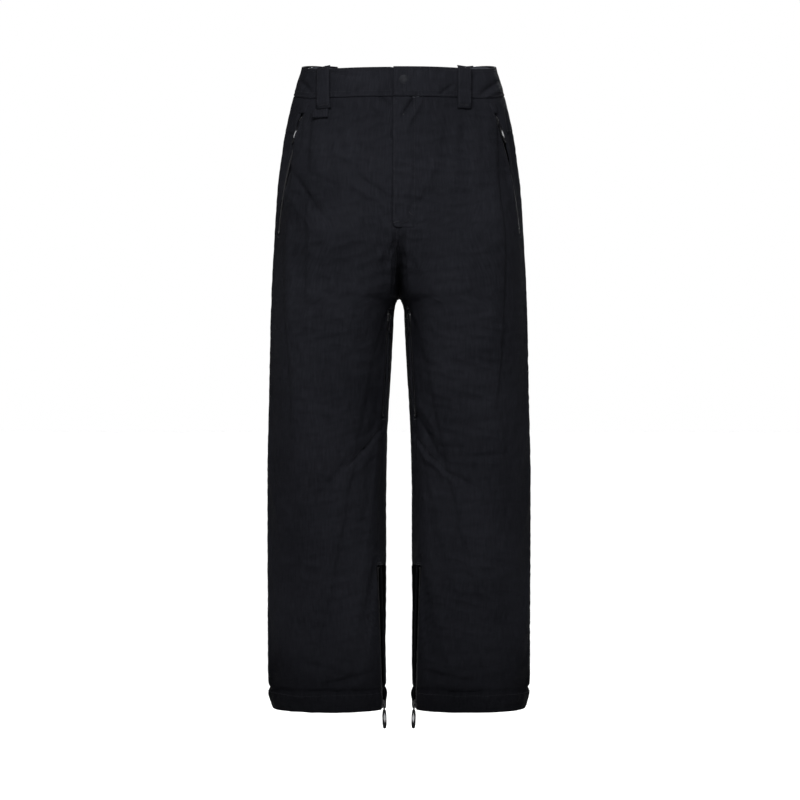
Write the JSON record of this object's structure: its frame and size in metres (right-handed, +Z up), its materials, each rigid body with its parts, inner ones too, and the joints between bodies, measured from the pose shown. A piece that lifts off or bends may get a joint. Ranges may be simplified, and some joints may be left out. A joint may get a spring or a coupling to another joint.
{
  "type": "ski pants",
  "caption": "Long padded ski pants with a snapped waistband, zipped pockets, thigh vents and zipped lower legs; every zip, flap and knee moves.",
  "frame": {"origin": "centre of the waist opening, level with the front edge of the waistband", "axes": "+Z up along the legs, -Y to the front, +X to the wearer's left"},
  "size_m": [0.428, 0.2922, 1.0905],
  "materials": {
    "shell_fabric": "matt plain weave with a fine slub",
    "guard_fabric": "smooth tight weave",
    "lining_fabric": "smooth taffeta",
    "cuff_fabric": "light ripstop",
    "zip_tape": "matt woven tape with a satin coil",
    "trim_tape": "ribbed grosgrain",
    "slider_metal": "satin black enamel",
    "snap_metal": "satin gunmetal",
    "pull_plastic": "moulded rubbery plastic"
  },
  "bodies": {
    "pants": {"waistband": "shell_fabric", "waist_underlap": "shell_fabric", "waistband_facing": "lining_fabric", "belt_loop_left": "shell_fabric", "belt_loop_right": "shell_fabric", "belt_loops_back": "shell_fabric", "ticket_loop": "trim_tape", "front_panel_left": "shell_fabric", "front_panel_right": "shell_fabric", "back_panel_left": "shell_fabric", "back_panel_right": "shell_fabric", "back_yoke": "shell_fabric", "gusset_left": "shell_fabric", "gusset_right": "shell_fabric", "knee_sleeve_left": "shell_fabric", "knee_sleeve_right": "shell_fabric", "fly_facing": "lining_fabric", "fly_zip": "zip_tape", "snap_stud": "snap_metal", "pocket_zip_left": "zip_tape", "pocket_zip_right": "zip_tape", "pocket_garages": "trim_tape", "pocket_bags": "lining_fabric", "vent_zip_left": "zip_tape", "vent_zip_right": "zip_tape", "lining_left": "lining_fabric", "lining_right": "lining_fabric", "hang_loops": "trim_tape"},
    "fly_flap_body": {"waist_tab": "shell_fabric", "fly_flap": "shell_fabric", "snap_cap": "snap_metal", "snap_socket": "snap_metal"},
    "fly_slider_body": {"fly_slider": "slider_metal", "fly_puller": "snap_metal"},
    "pocket_slider_body_left": {"pocket_slider_left": "slider_metal"},
    "pocket_pull_body_left": {"pocket_puller_left": "pull_plastic"},
    "vent_slider_body_left": {"vent_slider_left": "slider_metal"},
    "vent_pull_body_left": {"vent_puller_left": "pull_plastic"},
    "shin_left": {"shin_shell_left": "shell_fabric", "leg_zip_left": "zip_tape", "leg_gusset_left": "cuff_fabric", "scuff_guard_left": "guard_fabric", "shin_lining_left": "lining_fabric", "gaiter_left": "cuff_fabric"},
    "leg_slider_body_left": {"leg_slider_left": "slider_metal"},
    "leg_pull_body_left": {"leg_puller_left": "pull_plastic"},
    "back_flap_body_left": {"back_flap_left": "shell_fabric"},
    "pocket_slider_body_right": {"pocket_slider_right": "slider_metal"},
    "pocket_pull_body_right": {"pocket_puller_right": "pull_plastic"},
    "vent_slider_body_right": {"vent_slider_right": "slider_metal"},
    "vent_pull_body_right": {"vent_puller_right": "pull_plastic"},
    "shin_right": {"shin_shell_right": "shell_fabric", "leg_zip_right": "zip_tape", "leg_gusset_right": "cuff_fabric", "scuff_guard_right": "guard_fabric", "shin_lining_right": "lining_fabric", "gaiter_right": "cuff_fabric"},
    "leg_slider_body_right": {"leg_slider_right": "slider_metal"},
    "leg_pull_body_right": {"leg_puller_right": "pull_plastic"},
    "back_flap_body_right": {"back_flap_right": "shell_fabric"}
  },
  "joints": [
    {"name": "fly_flap_open", "type": "hinge", "parent": "pants", "child": "fly_flap_body", "pos_m": [0.03009, -0.09393, 0.00012], "axis": [0, 0.1311, 0.9914], "range_deg": [0, 100]},
    {"name": "fly_zip_slide", "type": "slide", "parent": "pants", "child": "fly_slider_body", "axis": [0, -0.1213, -0.9926], "range_m": [0, 0.165]},
    {"name": "pocket_zip_slide_left", "type": "hinge", "parent": "pants", "child": "pocket_slider_body_left", "pos_m": [-0.14703, -0.3672, -0.25848], "axis": [-0.6848, 0.7216, -0.1018], "range_deg": [0, 18.5]},
    {"name": "pocket_pull_swing_left", "type": "hinge", "parent": "pocket_slider_body_left", "child": "pocket_pull_body_left", "pos_m": [0.15896, -0.05257, -0.08015], "axis": [-0.4323, -0.8365, -0.3368], "range_deg": [0, 140]},
    {"name": "vent_zip_slide_left", "type": "slide", "parent": "pants", "child": "vent_slider_body_left", "axis": [0.0535, 0.0417, -0.9977], "range_m": [0, 0.15]},
    {"name": "vent_pull_swing_left", "type": "hinge", "parent": "vent_slider_body_left", "child": "vent_pull_body_left", "pos_m": [0.01422, -0.045, -0.39847], "axis": [-0.2946, 0.9553, 0.0241], "range_deg": [0, 25]},
    {"name": "knee_bend_left", "type": "hinge", "parent": "pants", "child": "shin_left", "pos_m": [0.1167, -0.04, -0.691], "axis": [1, 0, 0], "range_deg": [0, 60], "deforming": ["knee_sleeve_left"]},
    {"name": "leg_zip_slide_left", "type": "slide", "parent": "shin_left", "child": "leg_slider_body_left", "axis": [0.028, -0.0947, 0.9951], "range_m": [0, 0.205]},
    {"name": "leg_pull_swing_left", "type": "hinge", "parent": "leg_slider_body_left", "child": "leg_pull_body_left", "pos_m": [0.02431, -0.01641, -1.02646], "axis": [-0.4249, 0.9, 0.0975], "range_deg": [0, 150]},
    {"name": "back_flap_swing_left", "type": "hinge", "parent": "pants", "child": "back_flap_body_left", "pos_m": [0.1103, 0.12467, -0.11497], "axis": [0.9203, -0.3913, -0.001], "range_deg": [0, 110]},
    {"name": "pocket_zip_slide_right", "type": "hinge", "parent": "pants", "child": "pocket_slider_body_right", "pos_m": [0.14703, -0.3672, -0.25848], "axis": [-0.6848, -0.7216, 0.1018], "range_deg": [0, 18.5]},
    {"name": "pocket_pull_swing_right", "type": "hinge", "parent": "pocket_slider_body_right", "child": "pocket_pull_body_right", "pos_m": [-0.15896, -0.05257, -0.08015], "axis": [-0.4323, 0.8365, 0.3368], "range_deg": [0, 140]},
    {"name": "vent_zip_slide_right", "type": "slide", "parent": "pants", "child": "vent_slider_body_right", "axis": [-0.0535, 0.0417, -0.9977], "range_m": [0, 0.15]},
    {"name": "vent_pull_swing_right", "type": "hinge", "parent": "vent_slider_body_right", "child": "vent_pull_body_right", "pos_m": [-0.01422, -0.045, -0.39847], "axis": [-0.2946, -0.9553, -0.0241], "range_deg": [0, 25]},
    {"name": "knee_bend_right", "type": "hinge", "parent": "pants", "child": "shin_right", "pos_m": [-0.1167, -0.04, -0.691], "axis": [1, 0, 0], "range_deg": [0, 60], "deforming": ["knee_sleeve_right"]},
    {"name": "leg_zip_slide_right", "type": "slide", "parent": "shin_right", "child": "leg_slider_body_right", "axis": [-0.028, -0.0947, 0.9951], "range_m": [0, 0.205]},
    {"name": "leg_pull_swing_right", "type": "hinge", "parent": "leg_slider_body_right", "child": "leg_pull_body_right", "pos_m": [-0.02431, -0.01641, -1.02646], "axis": [-0.4249, -0.9, -0.0975], "range_deg": [0, 150]},
    {"name": "back_flap_swing_right", "type": "hinge", "parent": "pants", "child": "back_flap_body_right", "pos_m": [-0.1103, 0.12467, -0.11497], "axis": [0.9203, 0.3913, 0.001], "range_deg": [0, 110]}
  ]
}
